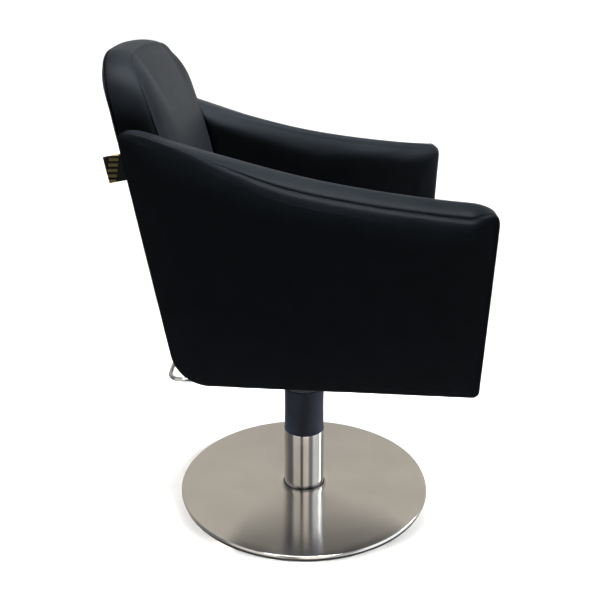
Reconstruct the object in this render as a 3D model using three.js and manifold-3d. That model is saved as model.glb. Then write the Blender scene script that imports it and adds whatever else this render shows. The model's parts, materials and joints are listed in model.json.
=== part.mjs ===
// A hydraulic styling chair: a round floor base, a telescopic column with a hydraulic lift inside it,
// a swivelling pump head with a foot hoop, and a fully upholstered tub seat.
// Millimetres, +Z up. The chair faces -Y. The origin is on the floor, on the column's axis.
import * as THREE from "three";
import { mergeVertices } from "three/addons/utils/BufferGeometryUtils.js";
import Module from "manifold-3d";

const wasm = await Module();
wasm.setup();

// Driving dimensions.
const GAP = 0.3; // air left between pieces that touch
const BASE_RADIUS = 260;
const BASE_TOP = 12;
const COVER_SHEET = 1.5;
const COVER_BOTTOM = 6.5;
const FLOOR_PAD_TOP = 3;
const PLATE_TOP = 9.7;
const TUBE_RADIUS = 42;
const TUBE_WALL = 1.2;
const TUBE_TOP = 139;
const SLEEVE_RADIUS = 40.5;
const SLEEVE_WALL = 1.7;
const SLEEVE_BOTTOM = 16;
const HEAD_BOTTOM = 237;
const CYLINDER_RADIUS = 31;
const CYLINDER_BORE = 24;
const CYLINDER_TOP = 205;
const ROD_RADIUS = 16;
const HEAD_FLANGE_RADIUS = 66;
const HEAD_TOP = 369.4;
const HEAD_BOLT_CIRCLE = 54;
const MOUNT_PLATE_SIDE = 240;
const MOUNT_PLATE_THICK = 6;
const PLATE_BOLT_OFFSET = 100;
const LEVER_PIVOT_Y = 64;
const LEVER_Z = 282;
const HOOP_ROD_RADIUS = 4.5;
const HOOP_HALF_WIDTH = 72;
const HOOP_END_Y = 264;
const ARM_HALF_WIDTH = 301.5; // from the centre plane to the arm's outer face, above the column
const ARM_FLARE = Math.atan(0.0945); // each arm turns outwards by this much towards the front
const ARM_THICK = 69;
const ARM_BOTTOM = 370.5;
const ARM_LOWER_CORNER = 65;
const ARM_FRONT = 284.5; // forward reach of the arm's front edge at its bottom
const ARM_FRONT_LEAN = 0.0335; // rise of that reach with height
const ARM_REAR = -283; // reach of the arm's rear edge at RAKE_HEIGHT
const ARM_BOARD_THICK = 20;
const ARM_BOARD_DEPTH = 14; // padding between the arm's outer face and its board
const ARM_BOARD_BOTTOM = 375;
const REAR_RAKE = 0.179; // lean of the rear edges, as forward travel per unit of height
const RAKE_HEIGHT = 757;
const BACK_REAR = -282; // reach of the back's rear face at RAKE_HEIGHT
const BACK_HALF_WIDTH = 236;
const BACK_TOP = 910;
const BACK_CORNER = 98;
const BACK_FOOT_CORNER = 50;
const BACK_BOTTOM = 382;
const FRAME_BOTTOM = 376;
const FRAME_FLOOR = 18;
const FRAME_TOP = 420;
const FRAME_RIM = 22;
const FRAME_FRONT_Y = -262;
const FRAME_REAR_Y = 144;
const CUSHION_TOP = 466;
const CUSHION_EDGE = 12;
const APRON_THICK = 12;
const RIM_BOLT_Z = 407; // bolts through the frame's rim into the arms and the back
const BOLT_RADIUS = 4;
const SMALL_ROUND = 12; // sides of a small round piece or hole

const group = new THREE.Group();

// Solids and booleans.

function solid(geometry) {
  const bare = geometry.clone();
  bare.deleteAttribute("normal");
  bare.deleteAttribute("uv");
  const merged = mergeVertices(bare, 1e-4);
  const mesh = new wasm.Mesh({
    numProp: 3,
    vertProperties: merged.attributes.position.array,
    triVerts: new Uint32Array(merged.index.array),
  });
  return new wasm.Manifold(mesh);
}

function geometryOf(body) {
  const mesh = body.getMesh();
  const geometry = new THREE.BufferGeometry();
  geometry.setAttribute("position", new THREE.BufferAttribute(mesh.vertProperties, 3));
  geometry.setIndex(new THREE.BufferAttribute(mesh.triVerts, 1));
  return geometry;
}

function cut(geometry, ...tools) {
  return geometryOf(tools.reduce((body, tool) => body.subtract(solid(tool)), solid(geometry)));
}

function join(geometry, ...others) {
  return geometryOf(others.reduce((body, other) => body.add(solid(other)), solid(geometry)));
}

function common(geometry, other) {
  return geometryOf(solid(geometry).intersect(solid(other)));
}

// Basic shapes, all with their axis along +Z.

// A closed profile of [radius, height] points, anticlockwise, turned about the Z axis.
function turned(profile, segments = 32) {
  const points = profile.map(([radius, height]) => new THREE.Vector2(radius, height));
  points.push(points[0].clone());
  return new THREE.LatheGeometry(points, segments).rotateX(Math.PI / 2);
}

function ring(outer, inner, low, high, segments) {
  return turned([[inner, low], [outer, low], [outer, high], [inner, high]], segments);
}

function disc(radius, low, high, segments = SMALL_ROUND) {
  return new THREE.CylinderGeometry(radius, radius, high - low, segments)
    .rotateX(Math.PI / 2)
    .translate(0, 0, (low + high) / 2);
}

function box(sizeX, sizeY, low, high) {
  return new THREE.BoxGeometry(sizeX, sizeY, high - low).translate(0, 0, (low + high) / 2);
}

function prism(shape, low, high, bevel = 0) {
  return new THREE.ExtrudeGeometry(shape, {
    depth: high - low - 2 * bevel,
    curveSegments: 8,
    bevelEnabled: bevel > 0,
    bevelThickness: bevel,
    bevelSize: bevel,
    bevelOffset: -bevel,
    bevelSegments: 3,
  }).translate(0, 0, low + bevel);
}

// A hexagon-head bolt that stands on its head: the head is below z = 0 and the shank goes up.
function hexBolt(length, radius = BOLT_RADIUS) {
  const head = disc(1.85 * radius, -1.4 * radius, 0, 6);
  return join(head, disc(radius, -0.5, length));
}

function add(name, geometry, material, parent = group) {
  const mesh = new THREE.Mesh(geometry, material.clone());
  mesh.name = name;
  parent.add(mesh);
  return mesh;
}

function finish(color, roughness, metalness) {
  return new THREE.MeshStandardMaterial({ color, roughness, metalness });
}

const brushedSteel = finish(0xa7a196, 0.35, 1);
const chrome = finish(0xd9d9dc, 0.06, 1);
const blackPlastic = finish(0x23272f, 0.55, 0);
const castAlloy = finish(0x4a4d52, 0.5, 0.8);
const steel = finish(0x8b8d90, 0.4, 1);
const bronze = finish(0x9c7440, 0.4, 1);
const rubber = finish(0x151515, 0.85, 0);
const plywood = finish(0xb58a5a, 0.7, 0);
const vinyl = finish(0x14151a, 0.38, 0);
const wovenTape = finish(0x0c0c0c, 0.8, 0);

// Base.

const FOOT_BOLT_CIRCLE = 33;

function aroundAxis(count, radius, place, offset = 0) {
  for (let i = 0; i < count; i += 1) {
    const angle = offset + (i * 2 * Math.PI) / count;
    place(i + 1, radius * Math.cos(angle), radius * Math.sin(angle));
  }
}

function addBase() {
  add("floor_pad", disc(BASE_RADIUS - 2.5, 0, FLOOR_PAD_TOP, 72), rubber);

  const headRadius = 8;
  const footBoltTop = 20;
  const countersink = (extra) =>
    turned([
      [0, FLOOR_PAD_TOP],
      [headRadius + extra, FLOOR_PAD_TOP],
      [headRadius + extra, FLOOR_PAD_TOP + 1.2],
      [BOLT_RADIUS + extra, FLOOR_PAD_TOP + 5.2],
      [BOLT_RADIUS + extra, footBoltTop + extra],
      [0, footBoltTop + extra],
    ], SMALL_ROUND);
  const boltHoles = [];
  aroundAxis(4, FOOT_BOLT_CIRCLE, (i, x, y) => {
    boltHoles.push(countersink(GAP).translate(x, y, 0));
    add(`foot_bolt_${i}`, countersink(0).translate(x, y, GAP), steel);
  }, Math.PI / 4);

  const plate = disc(BASE_RADIUS - 2.2, FLOOR_PAD_TOP + GAP, PLATE_TOP, 72);
  add("base_plate", cut(plate, ...boltHoles), steel);

  // The cover is a shallow spun dish with a rolled rim, open below.
  const inner = BASE_RADIUS - COVER_SHEET;
  const cover = turned([
    [TUBE_RADIUS + GAP, BASE_TOP],
    [TUBE_RADIUS + GAP, BASE_TOP - COVER_SHEET],
    [inner - 0.4, BASE_TOP - COVER_SHEET],
    [inner, BASE_TOP - COVER_SHEET - 0.4],
    [inner, COVER_BOTTOM],
    [BASE_RADIUS, COVER_BOTTOM],
    [BASE_RADIUS, BASE_TOP - 1.5],
    [BASE_RADIUS - 0.5, BASE_TOP - 0.5],
    [BASE_RADIUS - 1.5, BASE_TOP],
  ], 72);
  add("base_cover", cover, brushedSteel);

  // Pump cylinder with its bolted foot, open at the top.
  const footRadius = 37.6;
  const footTop = 22;
  const boreFloor = 24;
  const cylinder = turned([
    [0, PLATE_TOP + GAP],
    [footRadius, PLATE_TOP + GAP],
    [footRadius, footTop],
    [CYLINDER_RADIUS, footTop],
    [CYLINDER_RADIUS, CYLINDER_TOP],
    [CYLINDER_BORE, CYLINDER_TOP],
    [CYLINDER_BORE, boreFloor],
    [0, boreFloor],
  ]);
  add("pump_cylinder", cut(cylinder, ...boltHoles), steel);

  const ringOuter = TUBE_RADIUS - TUBE_WALL - GAP;
  const ringTop = 15;
  add("tube_locating_ring", ring(ringOuter, footRadius + GAP, PLATE_TOP + GAP, ringTop), steel);
  const tubeBottom = PLATE_TOP + GAP;
  add("column_tube", ring(TUBE_RADIUS, TUBE_RADIUS - TUBE_WALL, tubeBottom, TUBE_TOP, 48), chrome);
  const gasketBottom = BASE_TOP + GAP;
  const gasket = ring(TUBE_RADIUS + 0.9, TUBE_RADIUS + GAP, gasketBottom, gasketBottom + 0.6, 48);
  add("column_gasket", gasket, rubber);

  const bushBottom = 178;
  add("guide_bush", ring(CYLINDER_BORE - GAP, ROD_RADIUS + GAP, bushBottom, CYLINDER_TOP - 1), bronze);
  const glandBottom = CYLINDER_TOP + GAP;
  const glandTop = 222;
  const sealSeat = 212;
  const sealRadius = 21;
  const gland = turned([
    [ROD_RADIUS + 2 * GAP, glandBottom],
    [CYLINDER_RADIUS, glandBottom],
    [CYLINDER_RADIUS, glandTop],
    [sealRadius, glandTop],
    [sealRadius, sealSeat],
    [ROD_RADIUS + 2 * GAP, sealSeat],
  ]);
  add("gland_nut", gland, steel);
  add("rod_seal", ring(sealRadius - GAP, ROD_RADIUS + GAP, sealSeat + GAP, glandTop - 1), rubber);
}

// Lifting rod.

const COLLAR_TOP = 254;
const RACE_RADIUS = 30;
const RACE_THICK = 3;
const WEB_BOTTOM = COLLAR_TOP + 3 * RACE_THICK + 4 * GAP;
const WEB_TOP = 276;

function addPiston() {
  const spigot = 8.7;
  const spigotBottom = 32;
  const thread = 12;
  const threadTop = 299;
  const headBottom = 44;
  const headTop = 62;
  const rod = turned([
    [0, spigotBottom],
    [spigot, spigotBottom],
    [spigot, headTop + GAP],
    [ROD_RADIUS, headTop + GAP],
    [ROD_RADIUS, COLLAR_TOP - 6],
    [CYLINDER_BORE, COLLAR_TOP - 6],
    [CYLINDER_BORE, COLLAR_TOP],
    [ROD_RADIUS, COLLAR_TOP],
    [ROD_RADIUS, WEB_TOP],
    [thread, WEB_TOP],
    [thread, threadTop - 1],
    [thread - 1, threadTop],
    [0, threadTop],
  ]);
  add("piston_rod", rod, chrome);

  const grooveDepth = 4;
  const landHeight = 6;
  const headRadius = CYLINDER_BORE - GAP;
  const head = turned([
    [spigot + GAP, headBottom],
    [headRadius, headBottom],
    [headRadius, headBottom + landHeight],
    [headRadius - grooveDepth, headBottom + landHeight],
    [headRadius - grooveDepth, headTop - landHeight],
    [headRadius, headTop - landHeight],
    [headRadius, headTop],
    [spigot + GAP, headTop],
  ]);
  add("piston_head", head, bronze);
  const sealInner = headRadius - grooveDepth + GAP;
  const sealBottom = headBottom + landHeight + GAP;
  const sealTop = headTop - landHeight - GAP;
  add("piston_seal", ring(headRadius, sealInner, sealBottom, sealTop), rubber);
  const nutRadius = 14;
  const nutHole = disc(spigot + GAP, spigotBottom, headBottom, 32);
  add("piston_nut", cut(disc(nutRadius, headBottom - 10, headBottom - GAP, 6), nutHole), steel);

  const raceBottom = COLLAR_TOP + GAP;
  add("lower_race", ring(RACE_RADIUS, ROD_RADIUS + GAP, raceBottom, raceBottom + RACE_THICK), steel);
  const kingRadius = 19;
  const kingBottom = WEB_TOP + 2 * GAP;
  const kingTop = 290;
  const kingHole = disc(thread + GAP, WEB_TOP, kingTop + 1, 32);
  add("king_nut", cut(disc(kingRadius, kingBottom, kingTop, 6), kingHole), steel);
}

// Pump head, swivelling with the seat.

const BOSS_Y = 50;
const PLUNGER_RADIUS = 5.8;
const PLUNGER_BOTTOM = LEVER_Z + 7;
const BOSS_BOTTOM = 306;
const BORE_TOP = 345;

// A round bar across the chair, on the lever's pivot.
function leverPin(radius, halfLength) {
  return disc(radius, -halfLength, halfLength)
    .rotateY(Math.PI / 2)
    .translate(0, LEVER_PIVOT_Y, LEVER_Z);
}

function addPumpHead() {
  const sleeveInner = SLEEVE_RADIUS - SLEEVE_WALL;
  const sleeveTop = HEAD_BOTTOM - GAP;
  add("column_sleeve", ring(SLEEVE_RADIUS, sleeveInner, SLEEVE_BOTTOM, sleeveTop, 48), blackPlastic);

  const bearingPocket = RACE_RADIUS + 1;
  const upperPocket = 27;
  const flangeBottom = HEAD_TOP - 10;
  const barrel = turned([
    [bearingPocket, HEAD_BOTTOM],
    [SLEEVE_RADIUS - 1.5, HEAD_BOTTOM],
    [SLEEVE_RADIUS, HEAD_BOTTOM + 1.5],
    [SLEEVE_RADIUS, flangeBottom],
    [HEAD_FLANGE_RADIUS, flangeBottom],
    [HEAD_FLANGE_RADIUS, HEAD_TOP],
    [upperPocket, HEAD_TOP],
    [upperPocket, WEB_TOP],
    [ROD_RADIUS + GAP, WEB_TOP],
    [ROD_RADIUS + GAP, WEB_BOTTOM],
    [bearingPocket, WEB_BOTTOM],
  ], 40);
  const ribHalf = 3;
  const rib = new THREE.Shape()
    .moveTo(SLEEVE_RADIUS - 4, flangeBottom - 39)
    .lineTo(HEAD_FLANGE_RADIUS - 4, flangeBottom - 6)
    .lineTo(HEAD_FLANGE_RADIUS - 4, flangeBottom + 2)
    .lineTo(SLEEVE_RADIUS - 4, flangeBottom + 2);
  const ribs = [0, 1, 3].map((turn) =>
    prism(rib, -ribHalf, ribHalf).rotateX(Math.PI / 2).rotateZ((turn * Math.PI) / 2));
  const bossRadius = 13;
  const plungerBoss = disc(bossRadius, BOSS_BOTTOM, flangeBottom + 2).translate(0, BOSS_Y, 0);
  const earRadius = 11;
  const earRoot = 34;
  const earX = 20;
  const ear = new THREE.Shape()
    .moveTo(earRoot, LEVER_Z - 20)
    .lineTo(LEVER_PIVOT_Y, LEVER_Z - earRadius)
    .absarc(LEVER_PIVOT_Y, LEVER_Z, earRadius, -Math.PI / 2, Math.PI / 2, false)
    .lineTo(earRoot, LEVER_Z + 20);
  const ears = [-1, 1].map((side) =>
    prism(ear, -ribHalf, ribHalf)
      .rotateX(Math.PI / 2)
      .rotateZ(Math.PI / 2)
      .translate(side * earX, 0, 0));
  const pinHole = leverPin(BOLT_RADIUS + GAP, 40);
  const plungerBore = disc(PLUNGER_RADIUS + GAP, BOSS_BOTTOM - 5, BORE_TOP).translate(0, BOSS_Y, 0);
  const boltHoles = [];
  const boltBottom = flangeBottom - GAP;
  const boltLength = 15.5;
  aroundAxis(4, HEAD_BOLT_CIRCLE, (i, x, y) => {
    boltHoles.push(disc(BOLT_RADIUS + GAP, flangeBottom - 5, HEAD_TOP + 10).translate(x, y, 0));
    add(`head_bolt_${i}`, hexBolt(boltLength).translate(x, y, boltBottom), steel);
  }, Math.PI / 4);
  const casting = join(barrel, ...ribs, plungerBoss, ...ears);
  add("pump_head", cut(casting, pinHole, plungerBore, ...boltHoles), castAlloy);

  const washerBottom = COLLAR_TOP + RACE_THICK + 2 * GAP;
  const washerTop = washerBottom + RACE_THICK;
  add("thrust_washer", ring(RACE_RADIUS, ROD_RADIUS + GAP, washerBottom, washerTop), bronze);
  const raceBottom = washerTop + GAP;
  add("upper_race", ring(RACE_RADIUS, ROD_RADIUS + GAP, raceBottom, raceBottom + RACE_THICK), steel);

  const plateBottom = HEAD_TOP + GAP;
  const plateTop = plateBottom + MOUNT_PLATE_THICK;
  const plateHoles = [];
  const plateBoltLength = 18;
  for (const [i, sx, sy] of [[1, 1, 1], [2, -1, 1], [3, -1, -1], [4, 1, -1]]) {
    const x = sx * PLATE_BOLT_OFFSET;
    const y = sy * PLATE_BOLT_OFFSET;
    plateHoles.push(disc(BOLT_RADIUS + GAP, plateBottom - 5, plateTop + 5).translate(x, y, 0));
    add(`plate_bolt_${i}`, hexBolt(plateBoltLength).translate(x, y, plateBottom - GAP), steel);
  }
  const plate = prism(roundedRectangle(MOUNT_PLATE_SIDE, MOUNT_PLATE_SIDE, 16), plateBottom, plateTop);
  add("mount_plate", cut(plate, ...boltHoles, ...plateHoles), steel);
}

function roundedRectangle(sizeX, sizeY, radius) {
  const x = sizeX / 2;
  const y = sizeY / 2;
  return new THREE.Shape()
    .absarc(x - radius, y - radius, radius, 0, Math.PI / 2, false)
    .absarc(radius - x, y - radius, radius, Math.PI / 2, Math.PI, false)
    .absarc(radius - x, radius - y, radius, Math.PI, 1.5 * Math.PI, false)
    .absarc(x - radius, radius - y, radius, 1.5 * Math.PI, 2 * Math.PI, false);
}

// Foot hoop that works the pump.

function addLever() {
  const hubHalfWidth = 16.4;
  const hubRear = 98;
  const legX = 9;
  const legEnd = 78;
  const hub = new THREE.Shape()
    .moveTo(BOSS_Y - 6, LEVER_Z + 1)
    .absarc(BOSS_Y, LEVER_Z + 1, 5.5, Math.PI, 0, true)
    .lineTo(LEVER_PIVOT_Y, LEVER_Z + 9)
    .lineTo(hubRear, LEVER_Z + 8)
    .lineTo(hubRear, LEVER_Z - 8)
    .lineTo(LEVER_PIVOT_Y, LEVER_Z - 9)
    .lineTo(BOSS_Y - 4, LEVER_Z - 5);
  const block = prism(hub, -hubHalfWidth, hubHalfWidth).rotateX(Math.PI / 2).rotateZ(Math.PI / 2);
  const pinHole = leverPin(BOLT_RADIUS + GAP, 40);
  const sockets = [-1, 1].map((side) =>
    disc(HOOP_ROD_RADIUS + GAP, legEnd - GAP, hubRear + 5)
      .rotateX(-Math.PI / 2)
      .translate(side * legX, 0, LEVER_Z));
  add("lever_hub", cut(block, pinHole, ...sockets), steel);

  const half = [
    [legX, legEnd],
    [legX, hubRear - 8],
    [legX, hubRear],
    [legX + 3, hubRear + 10],
    [32, 130],
    [54, 158],
    [HOOP_HALF_WIDTH - 1, 186],
    [HOOP_HALF_WIDTH, 222],
    [HOOP_HALF_WIDTH - 5, HOOP_END_Y - 14],
    [HOOP_HALF_WIDTH - 20, HOOP_END_Y - 2],
    [HOOP_HALF_WIDTH - 38, HOOP_END_Y],
  ];
  const left = half.map(([x, y]) => new THREE.Vector3(x, y, LEVER_Z));
  const right = half.map(([x, y]) => new THREE.Vector3(-x, y, LEVER_Z)).reverse();
  const path = new THREE.CatmullRomCurve3([...left, ...right], false, "centripetal");
  const section = new THREE.Shape().absarc(0, 0, HOOP_ROD_RADIUS, 0, 2 * Math.PI, false);
  const hoop = new THREE.ExtrudeGeometry(section, {
    steps: 52,
    curveSegments: 5,
    extrudePath: path,
  });
  add("lever_hoop", hoop, chrome);

  add("lever_pin", leverPin(BOLT_RADIUS, 25), steel);
  const footRadius = 8;
  const footThick = 3;
  const plunger = join(
    disc(PLUNGER_RADIUS, PLUNGER_BOTTOM, BORE_TOP - 11),
    disc(footRadius, PLUNGER_BOTTOM, PLUNGER_BOTTOM + footThick),
  ).translate(0, BOSS_Y, 0);
  add("pump_plunger", plunger, chrome);

  // Compression spring between the plunger's foot and the boss.
  const wireRadius = 1;
  const springRadius = 8.2;
  const springBottom = PLUNGER_BOTTOM + footThick + GAP + wireRadius;
  const springTop = BOSS_BOTTOM - GAP - wireRadius;
  const turns = 3;
  const helix = new (class extends THREE.Curve {
    getPoint(t, target = new THREE.Vector3()) {
      const angle = 2 * Math.PI * turns * t;
      const x = springRadius * Math.cos(angle);
      const y = BOSS_Y + springRadius * Math.sin(angle);
      return target.set(x, y, springBottom + (springTop - springBottom) * t);
    }
  })();
  const wire = new THREE.Shape().absarc(0, 0, wireRadius, 0, 2 * Math.PI, false);
  const spring = new THREE.ExtrudeGeometry(wire, { steps: 42, curveSegments: 3, extrudePath: helix });
  add("plunger_spring", spring, steel);
}

// Upholstered tub. Outlines are drawn in the plane of the forward direction and the height.

// The arm's side outline: a straight raked rear edge, a large lower corner, a level underside,
// a nearly upright front edge and a top line that sweeps down from the back to the front.
function armOutline(inset) {
  const rearAt = (z) => ARM_REAR + REAR_RAKE * (RAKE_HEIGHT - z) + inset;
  const frontAt = (z) => ARM_FRONT + ARM_FRONT_LEAN * (z - ARM_BOTTOM) - inset;
  const bottom = ARM_BOTTOM + (inset > 0 ? -1 : 0);
  const lowerCorner = ARM_LOWER_CORNER - inset;
  const rearSlope = Math.atan(REAR_RAKE);
  const cornerX = rearAt(ARM_BOTTOM) + lowerCorner * Math.tan(Math.PI / 4 - rearSlope / 2);
  const cornerZ = ARM_BOTTOM + lowerCorner;
  const frontRound = 12;
  const frontTopRound = 21;
  const top = [
    [266, 680.5],
    [200, 685.5],
    [100, 697.5],
    [0, 714.5],
    [-100, 739.5],
    [-200, 767.5],
    [-245, 781.5],
    [-268, 787],
  ].map(([x, z]) => new THREE.Vector2(x * (1 - inset / 300), z - inset));
  const shape = new THREE.Shape();
  if (inset > 0) {
    shape.moveTo(rearAt(cornerZ), cornerZ);
    shape.lineTo(cornerX, bottom);
  } else {
    shape.absarc(cornerX, cornerZ, lowerCorner, Math.PI + rearSlope, 1.5 * Math.PI, false);
  }
  shape.lineTo(frontAt(bottom) - frontRound, bottom);
  shape.quadraticCurveTo(frontAt(bottom), bottom, frontAt(bottom + frontRound), bottom + frontRound);
  const frontTop = 680 - inset;
  shape.lineTo(frontAt(frontTop - frontTopRound), frontTop - frontTopRound);
  shape.quadraticCurveTo(frontAt(frontTop), frontTop, top[0].x, top[0].y);
  shape.splineThru(top.slice(1));
  const shoulder = 787 - inset;
  const shoulderDrop = 20;
  const shoulderEnd = shoulder - shoulderDrop;
  shape.quadraticCurveTo(rearAt(shoulder), shoulder + 3, rearAt(shoulderEnd), shoulderEnd);
  return shape;
}

// Stands an outline of (forward, height) up, with its extrusion running from X = 0 towards -X.
function upright(geometry) {
  return geometry.rotateX(Math.PI / 2).rotateZ(-Math.PI / 2);
}

function armSlab(outline, depthFromOuter, thickness, side, round) {
  const slab = new THREE.ExtrudeGeometry(outline, {
    depth: thickness - 2 * round,
    curveSegments: 4,
    bevelEnabled: round > 0,
    bevelThickness: round,
    bevelSize: round * 0.4,
    bevelOffset: -round * 0.4,
    bevelSegments: 2,
  });
  upright(slab.translate(0, 0, round));
  slab.translate(side > 0 ? -depthFromOuter : depthFromOuter + thickness, 0, 0);
  return slab.rotateZ(side * ARM_FLARE).translate(side * ARM_HALF_WIDTH, 0, 0);
}

function backProfile(grow) {
  const rearSlope = Math.atan(REAR_RAKE);
  const lowerCorner = BACK_FOOT_CORNER + grow;
  const rearAt = (z) => BACK_REAR + REAR_RAKE * (RAKE_HEIGHT - z) - grow;
  const cornerZ = BACK_BOTTOM + BACK_FOOT_CORNER;
  const cornerX = rearAt(BACK_BOTTOM) + lowerCorner * Math.tan(Math.PI / 4 - rearSlope / 2);
  const top = BACK_TOP + grow;
  const front = [
    [-163, 540],
    [-190, 672],
    [-222, 789],
    [-248, 858],
  ].map(([x, z]) => new THREE.Vector2(x + grow, z));
  const rear = [
    [-314.5, 856],
    [-304.6, 811],
    [-292.7, 757],
  ].map(([x, z]) => new THREE.Vector2(x - grow, z));
  const shape = new THREE.Shape();
  shape.moveTo(-146 + grow, BACK_BOTTOM - grow);
  shape.splineThru(front);
  shape.bezierCurveTo(-260 + grow, 888, -274 + grow, top, -295, top);
  shape.bezierCurveTo(-313 - grow, top, -322 - grow, 890, rear[0].x, rear[0].y);
  shape.splineThru(rear.slice(1));
  shape.lineTo(rearAt(cornerZ), cornerZ);
  shape.absarc(cornerX, cornerZ, lowerCorner, Math.PI + rearSlope, 1.5 * Math.PI, false);
  return shape;
}

function backFace(grow) {
  const half = BACK_HALF_WIDTH + grow;
  const top = BACK_TOP + grow;
  return new THREE.Shape()
    .moveTo(-half, BACK_BOTTOM - 10)
    .lineTo(half, BACK_BOTTOM - 10)
    .absarc(half - BACK_CORNER, top - BACK_CORNER, BACK_CORNER, 0, Math.PI / 2, false)
    .absarc(BACK_CORNER - half, top - BACK_CORNER, BACK_CORNER, Math.PI / 2, Math.PI, false);
}

function backBody(grow) {
  const half = BACK_HALF_WIDTH + grow + 1;
  const slab = upright(new THREE.ExtrudeGeometry(backProfile(grow), {
    depth: 2 * half,
    curveSegments: 5,
    bevelEnabled: false,
  })).translate(half, 0, 0);
  const face = prism(backFace(grow), -400, 0).rotateX(Math.PI / 2);
  return common(slab, face);
}

// The seat frame and cushion share a trapezoid outline that follows the arms' inner faces.
function seatOutline(frontY, rearY, clearance, radius) {
  const armAcross = ARM_THICK / Math.cos(ARM_FLARE);
  const halfAt = (y) => ARM_HALF_WIDTH - y * Math.tan(ARM_FLARE) - armAcross - clearance;
  const front = halfAt(frontY);
  const rear = halfAt(rearY);
  return new THREE.Shape()
    .moveTo(-front + radius, frontY)
    .lineTo(front - radius, frontY)
    .quadraticCurveTo(front, frontY, halfAt(frontY + radius), frontY + radius)
    .lineTo(rear, rearY)
    .lineTo(-rear, rearY)
    .lineTo(-halfAt(frontY + radius), frontY + radius)
    .quadraticCurveTo(-front, frontY, -front + radius, frontY);
}

function addSeatFrame() {
  const frameClearance = 1.5;
  const outline = seatOutline(FRAME_FRONT_Y, FRAME_REAR_Y, frameClearance, 12);
  const body = prism(outline, FRAME_BOTTOM, FRAME_TOP);
  const hollow = prism(
    seatOutline(FRAME_FRONT_Y + FRAME_RIM, FRAME_REAR_Y - FRAME_RIM, frameClearance + FRAME_RIM, 4),
    FRAME_BOTTOM + FRAME_FLOOR,
    FRAME_TOP + 1,
  );
  const holes = [];
  for (const x of [-PLATE_BOLT_OFFSET, PLATE_BOLT_OFFSET]) {
    for (const y of [-PLATE_BOLT_OFFSET, PLATE_BOLT_OFFSET]) {
      const hole = disc(BOLT_RADIUS + GAP, FRAME_BOTTOM - 1, FRAME_BOTTOM + 14);
      holes.push(hole.translate(x, y, 0));
    }
  }

  // Bolts through the rim into the arm boards and the back board.
  const armBoltLength = 74;
  const armBolts = [];
  for (const [side, sideName] of [[1, "left"], [-1, "right"]]) {
    for (const [y, place] of [[-180, "front"], [60, "rear"]]) {
      const innerFace = ARM_HALF_WIDTH - y * Math.tan(ARM_FLARE) - ARM_THICK;
      const headX = innerFace - FRAME_RIM - 6;
      const put = (geometry) => {
        geometry.rotateY(Math.PI / 2).translate(headX, y, RIM_BOLT_Z);
        return side > 0 ? geometry : geometry.rotateZ(Math.PI).translate(0, 2 * y, 0);
      };
      add(`arm_bolt_${place}_${sideName}`, put(hexBolt(armBoltLength)), steel);
      armBolts.push(put(disc(BOLT_RADIUS + GAP, -2, armBoltLength + 2 * GAP)));
    }
  }
  const backBoltLength = 46;
  const backBolts = [];
  for (const [x, sideName] of [[110, "left"], [-110, "right"]]) {
    const put = (geometry) =>
      geometry.rotateX(-Math.PI / 2).translate(x, FRAME_REAR_Y - FRAME_RIM - GAP, RIM_BOLT_Z);
    add(`back_bolt_${sideName}`, put(hexBolt(backBoltLength)), steel);
    backBolts.push(put(disc(BOLT_RADIUS + GAP, -2, backBoltLength + 2 * GAP)));
  }
  add("seat_frame", cut(body, hollow, ...holes, ...armBolts, ...backBolts), plywood);

  // Thin panel that closes the seat's underside around the mounting plate.
  const panelTop = FRAME_BOTTOM - GAP;
  const panelThick = 1.5;
  const panelOutline = seatOutline(FRAME_FRONT_Y + 2, FRAME_REAR_Y - 2, frameClearance + 2, 10);
  const panelHole = box(MOUNT_PLATE_SIDE + 2, MOUNT_PLATE_SIDE + 2, panelTop - 5, panelTop + 5);
  add("under_panel", cut(prism(panelOutline, panelTop - panelThick, panelTop), panelHole), blackPlastic);

  // Upholstered apron on the front rail.
  const apronHalf = ARM_HALF_WIDTH - FRAME_FRONT_Y * Math.tan(ARM_FLARE) - ARM_THICK - 6;
  const apronShape = new THREE.Shape()
    .moveTo(-apronHalf, FRAME_BOTTOM - 1)
    .lineTo(apronHalf, FRAME_BOTTOM - 1)
    .lineTo(apronHalf, FRAME_TOP)
    .lineTo(-apronHalf, FRAME_TOP);
  const apron = prism(apronShape, GAP, APRON_THICK, 3)
    .rotateX(Math.PI / 2)
    .translate(0, FRAME_FRONT_Y, 0);
  add("seat_apron", apron, vinyl);

  const cushionOutline = seatOutline(FRAME_FRONT_Y - 14, FRAME_REAR_Y - 1, 6, 30);
  const cushion = new THREE.ExtrudeGeometry(cushionOutline, {
    depth: CUSHION_TOP - FRAME_TOP - GAP - 2 * CUSHION_EDGE,
    curveSegments: 5,
    bevelThickness: CUSHION_EDGE,
    bevelSize: 9,
    bevelOffset: -9,
    bevelSegments: 3,
  }).translate(0, 0, FRAME_TOP + GAP + CUSHION_EDGE);
  add("seat_cushion", cushion, vinyl);
  return { armBolts, backBolts };
}

function addArms(armBolts) {
  const backRoom = backBody(3);
  const edgeRound = 14;
  const boardInset = 25;
  for (const [side, sideName] of [[1, "left"], [-1, "right"]]) {
    const pad = armSlab(armOutline(0), 0, ARM_THICK, side, edgeRound);
    const pocketOutline = armOutline(boardInset - 1);
    const pocketThick = ARM_BOARD_THICK + 2 * GAP;
    const pocket = armSlab(pocketOutline, ARM_BOARD_DEPTH - GAP, pocketThick, side, 0);
    const boardRaw = armSlab(armOutline(boardInset), ARM_BOARD_DEPTH, ARM_BOARD_THICK, side, 0);
    const trim = box(1200, 1200, ARM_BOARD_BOTTOM, BACK_TOP);
    add(`arm_pad_${sideName}`, cut(pad, pocket, backRoom, ...armBolts), vinyl);
    add(`arm_board_${sideName}`, cut(common(boardRaw, trim), ...armBolts), plywood);
  }
}

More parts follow.
